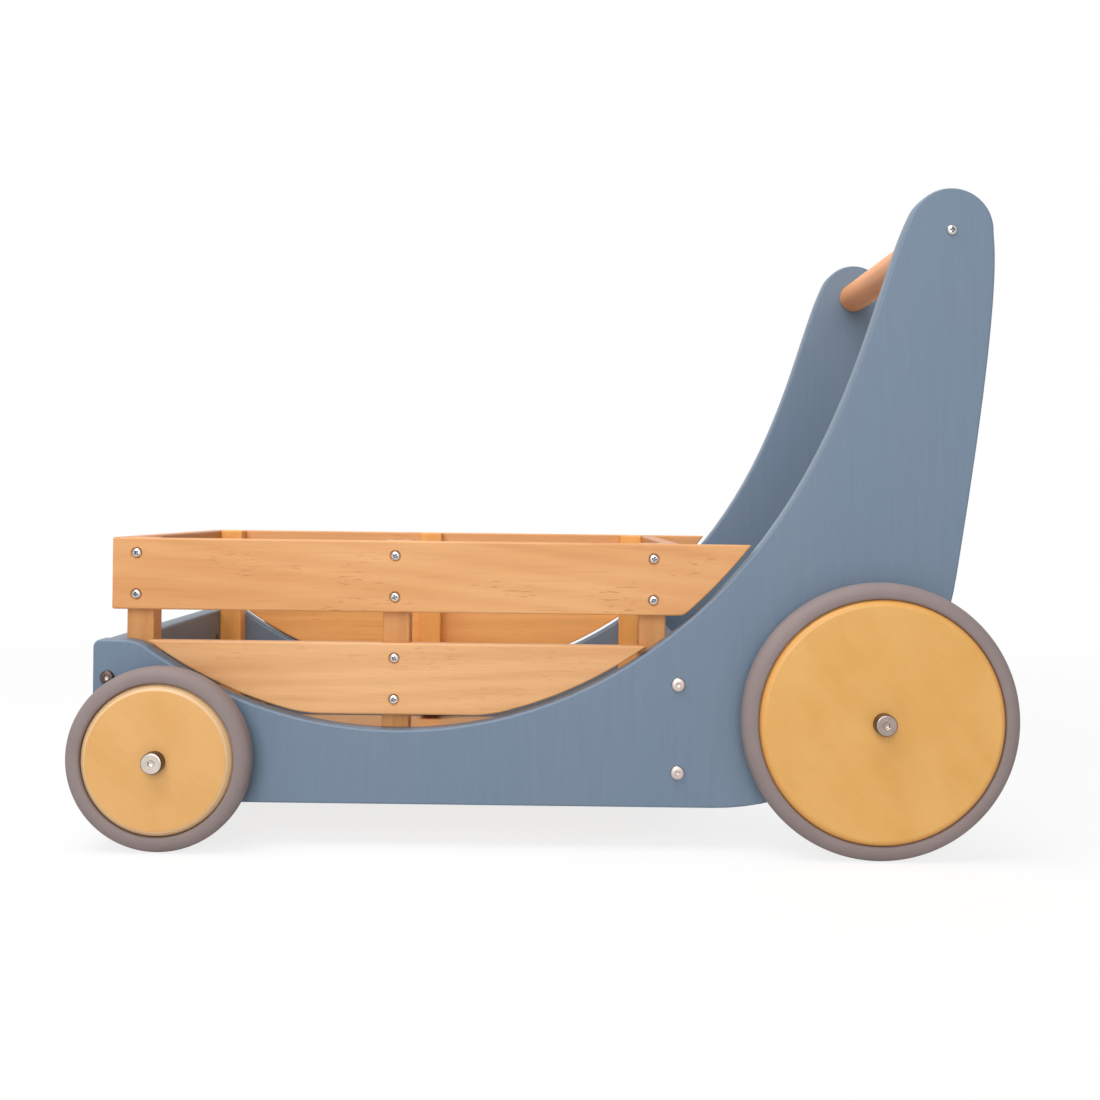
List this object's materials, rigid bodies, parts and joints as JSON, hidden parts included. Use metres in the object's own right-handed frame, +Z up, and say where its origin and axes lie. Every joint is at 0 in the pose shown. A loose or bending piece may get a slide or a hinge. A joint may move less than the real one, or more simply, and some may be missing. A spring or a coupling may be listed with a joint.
{
  "type": "baby push walker",
  "caption": "Wooden baby push walker: a slatted open box between scooped side panels that rise into arms with a round push bar, on plywood wheels with rubber tyres.",
  "frame": {"origin": "on the ground under the middle of the walker", "axes": "+X from the nose to the handle, +Y to the right-hand side of a child pushing towards -X, +Z up"},
  "size_m": [0.617, 0.3564, 0.4405],
  "materials": {
    "blue_paint": "satin paint with faint brush streaks",
    "slat_pine": "clear varnished pine, satin",
    "post_pine": "clear varnished pine, satin",
    "floor_ply": "bare plywood, matte",
    "handle_beech": "clear varnished beech, satin",
    "screw_zinc": "bright zinc",
    "bolt_nickel": "satin nickel",
    "axle_steel": "plain steel",
    "cap_steel": "turned steel",
    "collar_nylon": "black nylon",
    "bush_nylon": "natural nylon",
    "wheel_ply": "golden varnished plywood, satin",
    "tyre_rubber": "matte mauve-grey rubber"
  },
  "bodies": {
    "chassis": {"side_panel_left": "blue_paint", "side_panel_right": "blue_paint", "front_board": "blue_paint", "rear_board": "blue_paint", "upper_slat_left": "slat_pine", "upper_slat_right": "slat_pine", "lower_slat_left": "slat_pine", "lower_slat_right": "slat_pine", "front_cross_slat": "slat_pine", "rear_cross_slat": "slat_pine", "front_post_left": "post_pine", "front_post_right": "post_pine", "middle_post_left": "post_pine", "middle_post_right": "post_pine", "rear_post_left": "post_pine", "rear_post_right": "post_pine", "floor_panel": "floor_ply", "handle_bar": "handle_beech", "handle_screws": "screw_zinc", "slat_screws": "screw_zinc", "cross_slat_screws": "screw_zinc", "post_screws": "screw_zinc", "board_bolts": "bolt_nickel", "barrel_nuts": "bolt_nickel", "front_axle_left": "axle_steel", "front_axle_right": "axle_steel", "front_axle_washers": "axle_steel", "front_axle_nuts": "axle_steel", "front_axle_cap_left": "cap_steel", "front_axle_cap_right": "cap_steel", "front_axle_collars": "collar_nylon"},
    "rear_axle_set": {"rear_axle": "axle_steel", "rear_axle_collars": "collar_nylon", "rear_axle_washers": "axle_steel", "rear_axle_nuts": "axle_steel", "rear_axle_cap_left": "cap_steel", "rear_axle_cap_right": "cap_steel"},
    "front_wheel_left": {"front_wheel_disc_left": "wheel_ply", "front_tyre_left": "tyre_rubber", "front_bush_left": "bush_nylon"},
    "front_wheel_right": {"front_wheel_disc_right": "wheel_ply", "front_tyre_right": "tyre_rubber", "front_bush_right": "bush_nylon"},
    "rear_wheel_left": {"rear_wheel_disc_left": "wheel_ply", "rear_tyre_left": "tyre_rubber", "rear_bush_left": "bush_nylon"},
    "rear_wheel_right": {"rear_wheel_disc_right": "wheel_ply", "rear_tyre_right": "tyre_rubber", "rear_bush_right": "bush_nylon"}
  },
  "joints": [
    {"name": "rear_axle_shift", "type": "slide", "parent": "chassis", "child": "rear_axle_set", "axis": [-1, 0, 0], "range_m": [0, 0.047]},
    {"name": "front_wheel_left_spin", "type": "hinge", "parent": "chassis", "child": "front_wheel_left", "pos_m": [-0.2485, -0.16, 0.06], "axis": [0, 1, 0], "continuous": true},
    {"name": "front_wheel_right_spin", "type": "hinge", "parent": "chassis", "child": "front_wheel_right", "pos_m": [-0.2485, 0.16, 0.06], "axis": [0, 1, 0], "continuous": true},
    {"name": "rear_wheel_left_spin", "type": "hinge", "parent": "rear_axle_set", "child": "rear_wheel_left", "pos_m": [0.2185, -0.16, 0.09], "axis": [0, 1, 0], "continuous": true},
    {"name": "rear_wheel_right_spin", "type": "hinge", "parent": "rear_axle_set", "child": "rear_wheel_right", "pos_m": [0.2185, 0.16, 0.09], "axis": [0, 1, 0], "continuous": true}
  ]
}
